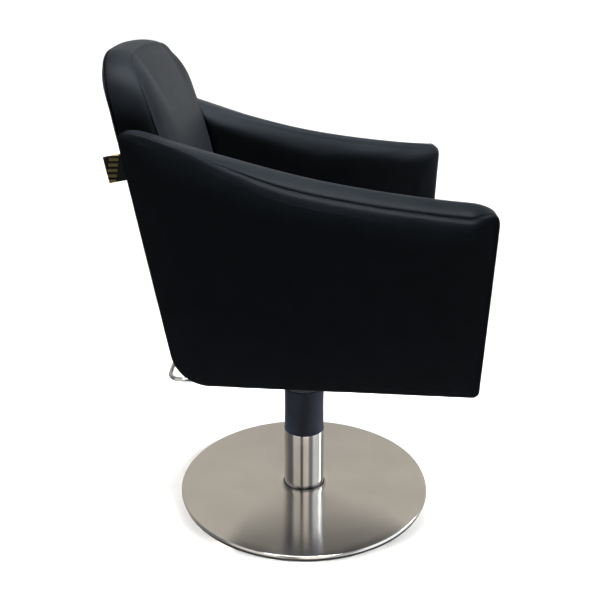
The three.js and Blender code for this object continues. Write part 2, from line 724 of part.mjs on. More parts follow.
function addBack(backBolts) {
  // The back board is a flat raked panel in a pocket that opens downwards.
  const boardLean = Math.atan(0.25);
  const boardThick = 12;
  const boardHalf = 190;
  const boardFootY = 157;
  const boardTop = 430;
  const raked = (half, thickness, low, high) =>
    new THREE.BoxGeometry(2 * half, thickness, high - low)
      .translate(0, 0, (low + high) / 2)
      .rotateX(-boardLean)
      .translate(0, boardFootY, BACK_BOTTOM);
  const pocket = raked(boardHalf + GAP, boardThick + 2 * GAP, -20, boardTop + GAP);
  const board = raked(boardHalf, boardThick, 3, boardTop);
  add("back_pad", cut(backBody(0), pocket, ...backBolts), vinyl);
  add("back_board", cut(board, ...backBolts), plywood);
}

function addLabel() {
  // A folded woven tab sewn into the rear seam of the right arm.
  const tab = new THREE.BoxGeometry(1.2, 23, 41)
    .rotateX(-Math.atan(REAR_RAKE))
    .translate(-270, 291.5, 734);
  add("label_tab", tab, wovenTape);
}

addBase();
addPiston();
addPumpHead();
addLever();
const { armBolts, backBolts } = addSeatFrame();
addArms(armBolts);
addBack(backBolts);
addLabel();

export default group;
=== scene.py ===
"""Looks of a hydraulic styling chair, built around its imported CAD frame. Metres, +Z up, facing -Y."""

import json
import math
import random

import bmesh
import bpy
import numpy as np
from mathutils import Matrix, Vector


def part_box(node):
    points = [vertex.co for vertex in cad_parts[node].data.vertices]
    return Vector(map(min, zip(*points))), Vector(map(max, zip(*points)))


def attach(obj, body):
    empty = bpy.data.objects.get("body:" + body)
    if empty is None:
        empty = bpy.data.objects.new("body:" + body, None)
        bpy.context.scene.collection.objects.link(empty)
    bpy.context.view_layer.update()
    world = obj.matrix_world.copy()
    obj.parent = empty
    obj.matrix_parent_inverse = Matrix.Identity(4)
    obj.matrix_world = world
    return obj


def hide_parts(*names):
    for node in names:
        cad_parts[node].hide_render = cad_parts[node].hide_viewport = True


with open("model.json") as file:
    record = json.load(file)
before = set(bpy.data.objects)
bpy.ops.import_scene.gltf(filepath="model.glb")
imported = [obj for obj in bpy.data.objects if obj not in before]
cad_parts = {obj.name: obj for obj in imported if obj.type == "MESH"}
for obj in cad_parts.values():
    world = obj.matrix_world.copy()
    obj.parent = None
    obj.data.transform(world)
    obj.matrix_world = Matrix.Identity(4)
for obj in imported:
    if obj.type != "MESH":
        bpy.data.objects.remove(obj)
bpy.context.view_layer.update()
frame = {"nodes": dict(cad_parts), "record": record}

scene = bpy.context.scene
MM = 0.001

# Driving dimensions of the upholstery, as in the CAD model. The rakes are slopes: forward over height.
ARM_HALF_WIDTH = 0.3015
ARM_FLARE = math.atan(0.0945)
ARM_THICK = 0.069
ARM_REAR = -0.283
ARM_FRONT = 0.2845
REAR_RAKE = 0.179
FRONT_RAKE = 0.0335
REAR_LEVEL = 0.757
BACK_REAR = -0.282
BACK_SIDE_GAP = 0.0025

# The cloth that swells the pads: a light cover, filled with air between its seams.
CLOTH = {"quality": 5, "mass": 0.4, "tension_stiffness": 25, "compression_stiffness": 25,
         "shear_stiffness": 15, "bending_stiffness": 4, "use_pressure": True}
CLOTH_FRAMES = 20
SHIFT_ROUNDS = 6
CAP_ROUNDS = 10


# ---------------------------------------------------------------- outlines

def from_centre(centre, radius, degrees):
    angle = math.radians(degrees)
    return np.array(centre) + radius * np.array([math.cos(angle), math.sin(angle)])


class Path:
    """A run of points in a plane, drawn with lines, arcs and smooth curves."""

    STEPS = 24

    def __init__(self, start):
        self.points = [np.array(start, float)]

    def line(self, end):
        start = self.points[-1]
        for i in range(1, self.STEPS + 1):
            self.points.append(start + (np.array(end, float) - start) * i / self.STEPS)

    def arc(self, centre, radius, start, end):
        """An arc between two angles in degrees."""
        for i in range(1, self.STEPS + 1):
            self.points.append(from_centre(centre, radius, start + (end - start) * i / self.STEPS))

    def curve(self, control, end):
        start, control, end = self.points[-1], np.array(control, float), np.array(end, float)
        for i in range(1, self.STEPS + 1):
            t = i / self.STEPS
            self.points.append((1 - t) ** 2 * start + 2 * t * (1 - t) * control + t * t * end)

    def through(self, ends):
        """A Catmull-Rom curve through the given points."""
        knots = [self.points[-1]] + [np.array(e, float) for e in ends]
        knots = [2 * knots[0] - knots[1]] + knots + [2 * knots[-1] - knots[-2]]
        for a, b, c, d in zip(knots, knots[1:], knots[2:], knots[3:]):
            for i in range(1, self.STEPS + 1):
                t = i / self.STEPS
                self.points.append(0.5 * (2 * b + (c - a) * t + (2 * a - 5 * b + 4 * c - d) * t * t
                                          + (3 * b - a - 3 * c + d) * t ** 3))

    def sampled(self, count):
        """count + 1 points, evenly spaced along the run."""
        points = np.array(self.points)
        lengths = np.concatenate([[0], np.cumsum(np.linalg.norm(np.diff(points, axis=0), axis=1))])
        wanted = np.linspace(0, lengths[-1], count + 1)
        return np.stack([np.interp(wanted, lengths, points[:, k]) for k in (0, 1)], axis=1)


def rounded_sides(low_half, high_half, low, high, low_corner, high_corner, arch=0.0):
    """Four runs around a trapezoid with rounded corners: low side, right, high side and left.

    The high side may be arched: its middle is past high by the arch."""
    def corner(path, centre, radius, start):
        path.arc(centre, radius, start, start + 45)

    high_left = (-high_half + high_corner, high - high_corner)
    high_right = (high_half - high_corner, high - high_corner)
    low_left = (-low_half + low_corner, low + low_corner)
    low_right = (low_half - low_corner, low + low_corner)
    bottom = Path(np.array(low_left) - low_corner * math.sqrt(0.5))
    corner(bottom, low_left, low_corner, 225)
    bottom.line((low_right[0], low))
    corner(bottom, low_right, low_corner, 270)
    right = Path(bottom.points[-1])
    corner(right, low_right, low_corner, 315)
    right.line((high_half, high_right[1]))
    corner(right, high_right, high_corner, 0)
    top = Path(right.points[-1])
    corner(top, high_right, high_corner, 45)
    top.curve((0, high + 2 * arch), (high_left[0], high))
    corner(top, high_left, high_corner, 90)
    left = Path(top.points[-1])
    corner(left, high_left, high_corner, 135)
    left.line((-low_half, low_left[1]))
    corner(left, low_left, low_corner, 180)
    return bottom, right, top, left


def smooth_step(value, low, high):
    """0 below low, 1 above high and a smooth rise between them."""
    t = np.clip((value - low) / (high - low), 0, 1)
    return t * t * (3 - 2 * t)


# ---------------------------------------------------------------- meshes

def shade_smooth(mesh):
    mesh.polygons.foreach_set("use_smooth", [True] * len(mesh.polygons))


def new_object(name, vertices, faces):
    """A smooth-shaded object whose faces all point outwards."""
    mesh = bpy.data.meshes.new(name)
    mesh.from_pydata([tuple(v) for v in vertices], [], faces)
    piece = bpy.data.objects.new(name, mesh)
    scene.collection.objects.link(piece)
    work = bmesh.new()
    work.from_mesh(mesh)
    bmesh.ops.recalc_face_normals(work, faces=work.faces)
    work.to_mesh(mesh)
    work.free()
    mesh.update()
    shade_smooth(mesh)
    return piece


def band_faces(rings, sides, first=0):
    """The four-sided faces between rings of vertices."""
    faces = []
    for r in range(rings - 1):
        for k in range(sides):
            m = (k + 1) % sides
            corners = (r * sides + k, r * sides + m, (r + 1) * sides + m, (r + 1) * sides + k)
            faces.append(tuple(first + corner for corner in corners))
    return faces


def bar_faces(rings, sides, first=0):
    """The same, with one more face at each end."""
    ends = [tuple(first + end + k for k in range(sides)) for end in (0, (rings - 1) * sides)]
    return band_faces(rings, sides, first) + ends


def turned(name, profile, segments=160):
    """A closed profile of (radius, height) points, turned about the Z axis."""
    count = len(profile)
    vertices = []
    for i in range(segments):
        angle = 2 * math.pi * i / segments
        vertices += [(r * math.cos(angle), r * math.sin(angle), z) for r, z in profile]
    faces = []
    for i in range(segments):
        j = (i + 1) % segments
        for k in range(count):
            m = (k + 1) % count
            faces.append((i * count + k, j * count + k, j * count + m, i * count + m))
    return new_object(name, vertices, faces)


def round_bar(name, points, radius, sides=24):
    """A round bar along a run of points, with flat ends."""
    points = [Vector(p) for p in points]
    vertices = []
    side = Vector((0, 0, 1))
    for i, point in enumerate(points):
        along = (points[min(i + 1, len(points) - 1)] - points[max(i - 1, 0)]).normalized()
        across = along.cross(side).normalized()
        up = across.cross(along)
        for k in range(sides):
            angle = 2 * math.pi * k / sides
            vertices.append(point + radius * (math.cos(angle) * across + math.sin(angle) * up))
    return new_object(name, vertices, bar_faces(len(points), sides))


def subdivide(piece):
    """Divides each face once and keeps the smoother mesh."""
    modifier = piece.modifiers.new("subdivision", "SUBSURF")
    modifier.levels = modifier.render_levels = 1
    graph = bpy.context.evaluated_depsgraph_get()
    mesh = bpy.data.meshes.new_from_object(piece.evaluated_get(graph))
    piece.modifiers.clear()
    old = piece.data
    piece.data = mesh
    bpy.data.meshes.remove(old)
    shade_smooth(mesh)


# ---------------------------------------------------------------- sewn pads

def coordinates(piece):
    flat = np.zeros(len(piece.data.vertices) * 3)
    piece.data.vertices.foreach_get("co", flat)
    return flat.reshape(-1, 3)


def set_coordinates(piece, points):
    piece.data.vertices.foreach_set("co", points.ravel())
    piece.data.update()


def nearest_on(line, points):
    """For each point, which of the line's points is nearest, and its distance."""
    gaps = np.linalg.norm(points[:, None] - line[None], axis=2)
    nearest = gaps.argmin(axis=1)
    return nearest, gaps[np.arange(len(points)), nearest]


def coons(bottom, right, top, left):
    """The grid of points inside four sides; top runs left to right and left runs upwards."""
    n, m = len(bottom) - 1, len(left) - 1
    s = np.linspace(0, 1, n + 1)[:, None, None]
    t = np.linspace(0, 1, m + 1)[None, :, None]
    ruled = (1 - t) * bottom[:, None] + t * top[:, None] + (1 - s) * left[None] + s * right[None]
    corners = ((1 - s) * (1 - t) * bottom[0] + s * (1 - t) * bottom[-1]
               + (1 - s) * t * top[0] + s * t * top[-1])
    return ruled - corners


class Pad:
    """Two faces and the sewn band between them, around an outline of four sides.

    rows lists the band's rows from the front face to the rear face as (share, offset, inset): a row lies at
    share * thickness + offset behind the front, inside the outline by inset. blend is 0 to 1 for each outline
    point and mixes rows with other_rows. The rolls are the radii of the faces' edges, each a pair that blend
    mixes. place turns (a, b, depth) into space."""

    def __init__(self, sides, counts, rows, place, thickness, front_roll, rear_roll,
                 other_rows=None, blend=None, shrink=None):
        self.place, self.thickness = place, thickness
        self.shrink = shrink or (lambda b: np.ones_like(b))
        bottom, right, top, left = [side.sampled(count) for side, count in zip(sides, counts)]
        self.loop = np.concatenate([bottom[:-1], right[:-1], top[:-1], left[:-1]])
        ahead, behind = np.roll(self.loop, -1, axis=0), np.roll(self.loop, 1, axis=0)
        along = (ahead - behind) / np.linalg.norm(ahead - behind, axis=1)[:, None]
        self.outward = np.stack([along[:, 1], -along[:, 0]], axis=1)
        self.blend = np.zeros(len(self.loop)) if blend is None else blend
        self.rows, self.other_rows = rows, other_rows or rows
        self.front_roll = self.blended(*front_roll)
        self.rear_roll = self.blended(*rear_roll)
        self.counts = counts

    def blended(self, value, other):
        return (1 - self.blend) * value + self.blend * other

    def row(self, index):
        """Outline points and depths of one row of the band."""
        share, offset, inset = map(self.blended, self.rows[index], self.other_rows[index])
        flat = self.loop - self.outward * inset[:, None]
        return flat, share * self.thickness(flat[:, 1]) + offset * self.shrink(flat[:, 1])

    def face(self, index, front):
        """The grid inside the row at one end of the band, rolled over towards its edge."""
        n, m = self.counts[0], self.counts[1]
        flat, depth = self.row(index)
        bottom = flat[: n + 1]
        right = flat[n: n + m + 1]
        top = flat[n + m: 2 * n + m + 1][::-1]
        left = np.concatenate([flat[2 * n + m:], flat[:1]])[::-1]
        grid = coons(bottom, right, top, left)
        inside = grid[1:-1, 1:-1].reshape(-1, 2)
        nearest, distance = nearest_on(self.loop, inside)
        radius = (self.front_roll if front else self.rear_roll)[nearest]
        rise = np.clip(1 - distance / radius, 0, 1)
        roll = radius * (1 - np.sqrt(1 - rise ** 2)) * self.shrink(inside[:, 1])
        return inside, roll if front else self.thickness(inside[:, 1]) - roll

    def build(self, name, sewn_rows, shaded_seam_rows=()):
        """The pad's mesh. The sewn rows don't swell, and the seam rows carry the seam attribute, which the
        vinyl uses for painted shade in the seam.
        """
        loop_size, row_count = len(self.loop), len(self.rows)
        n, m = self.counts[0], self.counts[1]
        flats, depths = zip(*[self.row(i) for i in range(row_count)])
        front, rear = self.face(0, True), self.face(row_count - 1, False)
        flat = np.concatenate([*flats, front[0], rear[0]])
        depth = np.concatenate([*depths, front[1], rear[1]])
        faces = band_faces(row_count, loop_size)
        first_inside = row_count * loop_size
        for row_start, start in ((0, first_inside),
                                 ((row_count - 1) * loop_size, first_inside + (n - 1) * (m - 1))):
            def index(i, j):
                if 0 < i < n and 0 < j < m:
                    return start + (i - 1) * (m - 1) + j - 1
                if j == 0:
                    return row_start + i
                if i == n:
                    return row_start + n + j
                if j == m:
                    return row_start + n + m + n - i
                return row_start + (loop_size - j) % loop_size
            for i in range(n):
                for j in range(m):
                    faces.append((index(i, j), index(i + 1, j), index(i + 1, j + 1), index(i, j + 1)))
        piece = new_object(name, self.place(flat[:, 0], flat[:, 1], depth), faces)
        group = piece.vertex_groups.new(name="sewn")
        for r in sewn_rows:
            group.add(list(range(r * loop_size, (r + 1) * loop_size)), 1.0, "REPLACE")
        # Painted shade: the seam attribute tells the vinyl to turn darker and lose its sheen along these
        # rows.
        seam = piece.data.attributes.new("seam", "FLOAT", "POINT")
        for r in shaded_seam_rows:
            for i in range(r * loop_size, (r + 1) * loop_size):
                seam.data[i].value = 1.0
        self.band = np.zeros(len(flat), bool)
        self.band[:first_inside] = True
        return piece

    def line(self, index, lift=0.0):
        """Points in space along one row of the band, lifted outwards."""
        flat, depth = self.row(index)
        flat = flat + self.outward * lift
        return self.place(flat[:, 0], flat[:, 1], depth)


def smoothed(piece, field, rounds):
    """Averages a field over the mesh's edges, which leaves the broad swell and takes out sharp wrinkles."""
    ends = np.zeros(len(piece.data.edges) * 2, int)
    piece.data.edges.foreach_get("vertices", ends)
    ends = ends.reshape(-1, 2)
    degree = np.bincount(ends.ravel(), minlength=len(field))[:, None]
    for _ in range(rounds):
        total = np.zeros_like(field)
        np.add.at(total, ends[:, 0], field[ends[:, 1]])
        np.add.at(total, ends[:, 1], field[ends[:, 0]])
        field = 0.5 * field + 0.5 * total / degree
    return field


def stuffed(piece, pad, pressure, face_cap, band_cap):
    """Swells a sewn pad with cloth pressure.

    Its seams stay put and no point moves past its cap, which changes gradually from the faces to the band."""
    start = coordinates(piece)
    modifier = piece.modifiers.new("cloth", "CLOTH")
    cloth = modifier.settings
    for setting, value in CLOTH.items():
        setattr(cloth, setting, value)
    cloth.uniform_pressure_force = pressure
    cloth.effector_weights.gravity = 0
    cloth.vertex_group_mass = "sewn"
    modifier.point_cache.frame_start, modifier.point_cache.frame_end = 1, CLOTH_FRAMES
    for number in range(1, CLOTH_FRAMES + 1):
        scene.frame_set(number)
    graph = bpy.context.evaluated_depsgraph_get()
    swollen = piece.evaluated_get(graph).to_mesh()
    moved = np.zeros(len(swollen.vertices) * 3)
    swollen.vertices.foreach_get("co", moved)
    piece.evaluated_get(graph).to_mesh_clear()
    piece.modifiers.clear()
    scene.frame_set(1)
    shift = smoothed(piece, moved.reshape(-1, 3) - start, SHIFT_ROUNDS)
    size = np.linalg.norm(shift, axis=1)
    cap = smoothed(piece, np.where(pad.band, band_cap, face_cap)[:, None], CAP_ROUNDS)[:, 0]
    share = cap * np.tanh(size / cap) / np.maximum(size, 1e-9)
    sewn = piece.vertex_groups["sewn"].index
    loose = np.array([all(g.group != sewn for g in v.groups) for v in piece.data.vertices], float)
    set_coordinates(piece, start + shift * (share * loose)[:, None])


# ---------------------------------------------------------------- materials

def material(name, metallic=0.0, roughness=0.5, **sockets):
    made = bpy.data.materials.new(name)
    made.use_nodes = True
    shader = made.node_tree.nodes["Principled BSDF"]
    shader.inputs["Metallic"].default_value = metallic
    shader.inputs["Roughness"].default_value = roughness
    for socket, value in sockets.items():
        shader.inputs[socket.replace("_", " ")].default_value = value
    return made


def node(made, kind, inputs=None, **settings):
    """A new node in a material or a world. An input is a value or another node's output."""
    new = made.node_tree.nodes.new(kind)
    for setting, value in settings.items():
        setattr(new, setting, value)
    for socket, value in (inputs or {}).items():
        if isinstance(value, bpy.types.NodeSocket):
            made.node_tree.links.new(value, new.inputs[socket])
        else:
            new.inputs[socket].default_value = value
    return new


def maths(made, operation, *values):
    """The result of one step of arithmetic."""
    return node(made, "ShaderNodeMath", dict(enumerate(values)), operation=operation).outputs["Value"]


def shader_link(made, output, socket):
    made.node_tree.links.new(output, made.node_tree.nodes["Principled BSDF"].inputs[socket])


def place_of(made, stretch=(1, 1, 1)):
    """The place on the object in metres, which a stretch makes finer along an axis."""
    place = node(made, "ShaderNodeTexCoord").outputs["Object"]
    if stretch == (1, 1, 1):
        return place
    return node(made, "ShaderNodeMapping", {"Vector": place, "Scale": stretch}).outputs["Vector"]


def noise(made, place, scale, detail=4.0, roughness=0.5):
    settings = {"Vector": place, "Scale": scale, "Detail": detail, "Roughness": roughness}
    return node(made, "ShaderNodeTexNoise", settings).outputs["Fac"]


def mottled(made, factor, dark, light, low=0.3, high=0.7):
    """Base colour that runs from dark to light with the factor."""
    ramp = node(made, "ShaderNodeValToRGB", {"Fac": factor})
    ramp.color_ramp.elements[0].position, ramp.color_ramp.elements[1].position = low, high
    ramp.color_ramp.elements[0].color = (*dark, 1)
    ramp.color_ramp.elements[1].color = (*light, 1)
    shader_link(made, ramp.outputs["Color"], "Base Color")
    return ramp


def uneven_gloss(made, factor, low, high):
    """Roughness from low to high with the factor."""
    spread = node(made, "ShaderNodeMapRange", {"Value": factor, "To Min": low, "To Max": high})
    shader_link(made, spread.outputs["Result"], "Roughness")


def bumped(made, layers):
    """Bump from (height, strength, depth in metres) layers, the coarsest first."""
    normal = None
    for height, strength, depth in layers:
        inputs = {"Height": height, "Strength": strength, "Distance": depth}
        if normal:
            inputs["Normal"] = normal
        normal = node(made, "ShaderNodeBump", inputs).outputs["Normal"]
    shader_link(made, normal, "Normal")


def vinyl_material():
    """Blue-black vinyl with a fine grain, with painted shade down in the seams: a darker colour and no sheen
    there.
    """
    dark, light, painted_seam_shade_color = (0.0032, 0.0048, 0.0072), (0.0042, 0.0061, 0.0090), (0.0004, 0.0005, 0.0008, 1)
    sheen = 0.04
    made = material("vinyl", roughness=0.4)
    place = place_of(made)
    soft = noise(made, place, 7, 3)
    # Painted shade in the seams: the seam attribute mixes in a near-black colour and takes the sheen away.
    seam = node(made, "ShaderNodeAttribute", attribute_name="seam").outputs["Fac"]
    ramp = mottled(made, noise(made, place, 30, 5), dark, light)
    mix = node(made, "ShaderNodeMix", {"Factor": seam, "A": ramp.outputs["Color"], "B": painted_seam_shade_color},
               data_type="RGBA")
    shader_link(made, mix.outputs["Result"], "Base Color")
    gloss = node(made, "ShaderNodeMapRange", {"Value": seam, "To Min": sheen, "To Max": 0.0})
    shader_link(made, gloss.outputs["Result"], "Specular IOR Level")
    uneven_gloss(made, noise(made, place, 55, 4), 0.38, 0.46)
    grain = node(made, "ShaderNodeTexVoronoi", {"Vector": place, "Scale": 850.0}, feature="SMOOTH_F1")
    bumped(made, [
        (soft, 0.2, 0.003),
        (noise(made, place, 260, 3), 0.06, 0.0005),
        (grain.outputs["Distance"], 0.08, 0.0002),
    ])
    return made


def thread_material():
    """Black twisted thread."""
    made = material("thread", roughness=0.8, Specular_IOR_Level=0.03)
    place = place_of(made)
    mottled(made, noise(made, place, 900, 3), (0.0008, 0.0008, 0.001), (0.0025, 0.0025, 0.003))
    twist = node(made, "ShaderNodeTexWave", {"Vector": place, "Scale": 700.0, "Distortion": 2.0})
    bumped(made, [(twist.outputs["Fac"], 0.3, 0.0002)])
    return made


def brushed_disc_material():
    """Stainless steel brushed in rings about the Z axis."""
    rings_per_metre = 2600.0
    made = material("brushed_disc", metallic=1.0, roughness=0.2, Anisotropic=0.9, Anisotropic_Rotation=0.25)
    place = place_of(made)
    parts = node(made, "ShaderNodeSeparateXYZ", {"Vector": place})
    flat = node(made, "ShaderNodeCombineXYZ", {"X": parts.outputs["X"], "Y": parts.outputs["Y"]})
    radius = node(made, "ShaderNodeVectorMath", {0: flat.outputs["Vector"]}, operation="LENGTH")
    angle = maths(made, "ARCTAN2", parts.outputs["Y"], parts.outputs["X"])
    wide = maths(made, "MULTIPLY", radius.outputs["Value"], rings_per_metre)
    rings = node(made, "ShaderNodeCombineXYZ", {"X": wide, "Y": angle})
    lines = noise(made, rings.outputs["Vector"], 1.0, 6, 0.7)
    mottled(made, noise(made, place, 9, 4), (0.74, 0.705, 0.645), (0.81, 0.775, 0.715))
    uneven_gloss(made, lines, 0.16, 0.22)
    tangent = node(made, "ShaderNodeTangent", direction_type="RADIAL", axis="Z")
    shader_link(made, tangent.outputs["Tangent"], "Tangent")
    bumped(made, [(lines, 0.05, 0.00005)])
    return made


def chrome_material():
    """Polished chrome with faint smears along its length."""
    made = material("chrome", metallic=1.0, roughness=0.05)
    place = place_of(made)
    mottled(made, noise(made, place, 12, 3), (0.55, 0.54, 0.53), (0.62, 0.61, 0.60))
    smears = noise(made, place_of(made, (30, 30, 4)), 1, 5)
    uneven_gloss(made, smears, 0.035, 0.10)
    bumped(made, [(smears, 0.02, 0.0002)])
    return made


def plain_material(name, dark, light, low, high, scale, bump, metallic=0.0, depth=0.0002, stretch=(1, 1, 1),
                   **sockets):
    """A moulded, cast, rubber, wood or turned surface, from noise at one scale.

    dark and light are its two tints, low and high its roughness, and bump and depth its relief."""
    made = material(name, metallic=metallic, **sockets)
    place = place_of(made, stretch)
    mottled(made, noise(made, place, scale * 0.3, 5), dark, light)
    uneven_gloss(made, noise(made, place, scale * 0.6, 4), low, high)
    bumped(made, [(noise(made, place, scale, 6, 0.6), bump, depth)])
    return made


def tape_material():
    """Black woven tape with plain gold bars inside a strip that leans with the arm's rear edge."""
    black, gold, bar_scale, weave_scale = (0.006, 0.006, 0.006), (0.23, 0.17, 0.045), 38.0, 420.0
    strip_shift, strip_half_width, bar_level = 0.0015, 0.0072, 0.45
    made = material("woven_tape", roughness=0.75, Specular_IOR_Level=0.1)
    place = place_of(made)
    parts = node(made, "ShaderNodeSeparateXYZ", {"Vector": place})
    bars = node(made, "ShaderNodeTexWave", {"Vector": place, "Scale": bar_scale}, bands_direction="Z",
                wave_profile="SIN")
    low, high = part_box("label_tab")
    raked = maths(made, "MULTIPLY_ADD", parts.outputs["Z"], REAR_RAKE, parts.outputs["Y"])
    middle = (low.y + high.y) / 2 + REAR_RAKE * (low.z + high.z) / 2 + strip_shift
    inside = maths(made, "COMPARE", raked, middle, strip_half_width)
    on_bar = maths(made, "GREATER_THAN", bars.outputs["Fac"], bar_level)
    mottled(made, maths(made, "MULTIPLY", inside, on_bar), black, gold, 0.4, 0.6)
    threads = [node(made, "ShaderNodeTexWave", {"Vector": place, "Scale": weave_scale}, bands_direction=axis)
               for axis in "ZY"]
    bumped(made, [(thread.outputs["Fac"], 0.5, 0.0003) for thread in threads])
    return made


MATERIALS = {
    "upholstery": vinyl_material(),
    "base_cover": brushed_disc_material(),
    "chrome": chrome_material(),
    "sleeve": plain_material("sleeve_plastic", (0.009, 0.012, 0.020), (0.014, 0.018, 0.029), 0.5, 0.62,
                             260, 0.2, Specular_IOR_Level=0.15),
    "pump_head": plain_material("powder_coat", (0.020, 0.022, 0.027), (0.035, 0.037, 0.042), 0.42, 0.55,
                                700, 0.4),
    "mount_plate": plain_material("black_steel", (0.018, 0.018, 0.019), (0.03, 0.03, 0.031), 0.4, 0.55,
                                  500, 0.3),
    "steel": plain_material("zinc_steel", (0.33, 0.33, 0.34), (0.45, 0.45, 0.45), 0.28, 0.42, 180, 0.2,
                            metallic=1.0),
    "bronze": plain_material("bronze", (0.36, 0.22, 0.10), (0.48, 0.31, 0.15), 0.3, 0.45, 150, 0.2,
                             metallic=1.0),
    "plywood": plain_material("stained_plywood", (0.0060, 0.0055, 0.0052), (0.0110, 0.0100, 0.0092), 0.55,
                              0.75, 60, 0.2, depth=0.0004, stretch=(1, 6, 10)),
    "rubber": plain_material("rubber", (0.012, 0.012, 0.012), (0.024, 0.024, 0.023), 0.6, 0.8, 400, 0.4),
    "label_tape": tape_material(),
    "thread": thread_material(),
}

slot_of_node = {part["node"]: part["material_slot"] for part in frame["record"]["subparts"]}
for name, cad_piece in frame["nodes"].items():
    cad_piece.data.materials.clear()
    cad_piece.data.materials.append(MATERIALS[slot_of_node[name]])


def finished(piece, body, slot, *cad_nodes, look=None):
    """Gives a new piece its material, its body and the CAD nodes that it stands for."""
    piece.data.materials.clear()
    piece.data.materials.append(MATERIALS[look or slot])
    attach(piece, body)
    if cad_nodes:
        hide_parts(*cad_nodes)


# ---------------------------------------------------------------- arms

ARM_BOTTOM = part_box("arm_pad_left")[0].z
LOWER_CORNER = 0.065
FRONT_CORNER_START = 0.658
REAR_CORNER_START = 0.768
SHOULDER = (-0.2785, 0.7895)


def rear_edge(z):
    """The arm's raked rear edge: how far forward it is at a height."""
    return ARM_REAR + REAR_RAKE * (REAR_LEVEL - z)


def front_edge(z):
    return ARM_FRONT + FRONT_RAKE * (z - ARM_BOTTOM)


def arm_sides():
    """The arm's side outline as four runs of (forward, height): bottom, front, top and rear."""
    slope = math.atan(REAR_RAKE)
    centre_x = rear_edge(ARM_BOTTOM) + LOWER_CORNER * math.tan(math.pi / 4 - slope / 2)
    centre = (centre_x, ARM_BOTTOM + LOWER_CORNER)
    start, middle, end = 180 + math.degrees(slope), 225, 270
    foot = front_edge(ARM_BOTTOM)
    corner, control, half_way = 0.013, 0.004, 0.0037
    bottom = Path(from_centre(centre, LOWER_CORNER, middle))
    bottom.arc(centre, LOWER_CORNER, middle, end)
    bottom.line((foot - corner, ARM_BOTTOM))
    bottom.curve((foot - control, ARM_BOTTOM), (foot - half_way, ARM_BOTTOM + half_way))
    front = Path(bottom.points[-1])
    front.curve((foot, ARM_BOTTOM + control), (foot, ARM_BOTTOM + corner))
    front.line((front_edge(FRONT_CORNER_START), FRONT_CORNER_START))
    front.curve((0.2945, 0.6705), (0.2880, 0.6755))
    top = Path(front.points[-1])
    top.curve((0.2795, 0.6820), (0.262, 0.6847))
    top.through([(0.200, 0.6900), (0.100, 0.7020), (0, 0.7190), (-0.100, 0.7432), (-0.200, 0.7708),
                 (-0.245, 0.7855)])
    top.curve((-0.264, 0.7915), SHOULDER)
    rear = Path(SHOULDER)
    rear.curve((rear_edge(0.7885), 0.7885), (rear_edge(REAR_CORNER_START), REAR_CORNER_START))
    rear.line(from_centre(centre, LOWER_CORNER, start))
    rear.arc(centre, LOWER_CORNER, start, middle)
    return bottom, front, top, rear


def arm_place(side):
    """Turns the arm's (forward, height, depth) into space, on the side that the sign says."""
    def place(forward, height, depth):
        x = ARM_HALF_WIDTH + forward * math.sin(ARM_FLARE) - depth * math.cos(ARM_FLARE)
        y = -forward * math.cos(ARM_FLARE) - depth * math.sin(ARM_FLARE)
        return np.stack([side * x, y, height], axis=1)
    return place


# Rows of an arm's band, in millimetres, from its outer face to its inner face. Along the top the seam lies
# below a crowned panel, and along the other edges it runs close to the corner.
TOP_ROWS = [(0, 0.2, 35), (0, 1.5, 30), (0, 4.0, 25.5), (0, 7.6, 22.2), (0, 11.4, 20.3), (0, 12.6, 20.0),
            (0, 13.2, 20.1), (0, 15.2, 25.5), (0, 17.2, 17.4), (0, 18.4, 16.6), (0, 24, 12.6), (0, 32, 7.2),
            (0, 40, 2.8), (0, 48, 0.4), (0, 55, 1.6), (0, 61.5, 6.6)]
EDGE_ROWS = [(0, 0.15, 10.5), (0, 0.5, 8.0), (0, 1.1, 5.6), (0, 1.9, 3.6), (0, 2.8, 2.2), (0, 3.5, 1.5),
             (0, 4.2, 1.3), (0, 5.3, 4.6), (0, 6.4, 1.2), (0, 8.0, 0.7), (0, 14, 0.2), (0, 22, 0),
             (0, 34, 0), (0, 45, 0.6), (0, 54, 2.8), (0, 61, 7.6)]
ARM_SEAM_ROW = 7
ARM_SEWN_ROWS = range(4, 10)
ARM_COUNTS = (76, 48, 76, 48)
ARM_OUTER_ROLL = (0.036, 0.012)
ARM_INNER_ROLL = (0.027, 0.028)
ARM_THREAD_LIFT = 0.0034
THREAD_LIFT = 0.0008


def in_metres(rows):
    return [(share, offset * MM, inset * MM) for share, offset, inset in rows]


def arm_blend():
    """0 along the top and 1 along the other edges, with a fade at the top's front and rear."""
    front_fade, rear_fade = (0.0, 0.07), (0.52, 0.92)
    along = np.arange(ARM_COUNTS[2]) / ARM_COUNTS[2]
    top = 1 - smooth_step(along, *front_fade) + smooth_step(along, *rear_fade)
    others = [np.ones(count) for count in ARM_COUNTS]
    return np.concatenate([others[0], others[1], top, others[3]])


def make_arms():
    for side, side_name in ((1, "left"), (-1, "right")):
        pad = Pad(arm_sides(), ARM_COUNTS, in_metres(TOP_ROWS), arm_place(side),
                  lambda b: np.full_like(b, ARM_THICK), ARM_OUTER_ROLL, ARM_INNER_ROLL,
                  other_rows=in_metres(EDGE_ROWS), blend=arm_blend())
        piece = pad.build(f"arm_{side_name}_cover", ARM_SEWN_ROWS, [ARM_SEAM_ROW])
        stuffed(piece, pad, pressure=5.0, face_cap=0.004, band_cap=0.0012)
        tuck_behind_back(piece, side)
        pucker(piece, pad, ARM_SEAM_ROW, depth=0.0005, seed=5 + side)
        subdivide(piece)
        finished(piece, "seat", "upholstery", f"arm_pad_{side_name}")
        seam_thread(f"arm_{side_name}_seam", pad.line(ARM_SEAM_ROW, ARM_THREAD_LIFT), "seat")


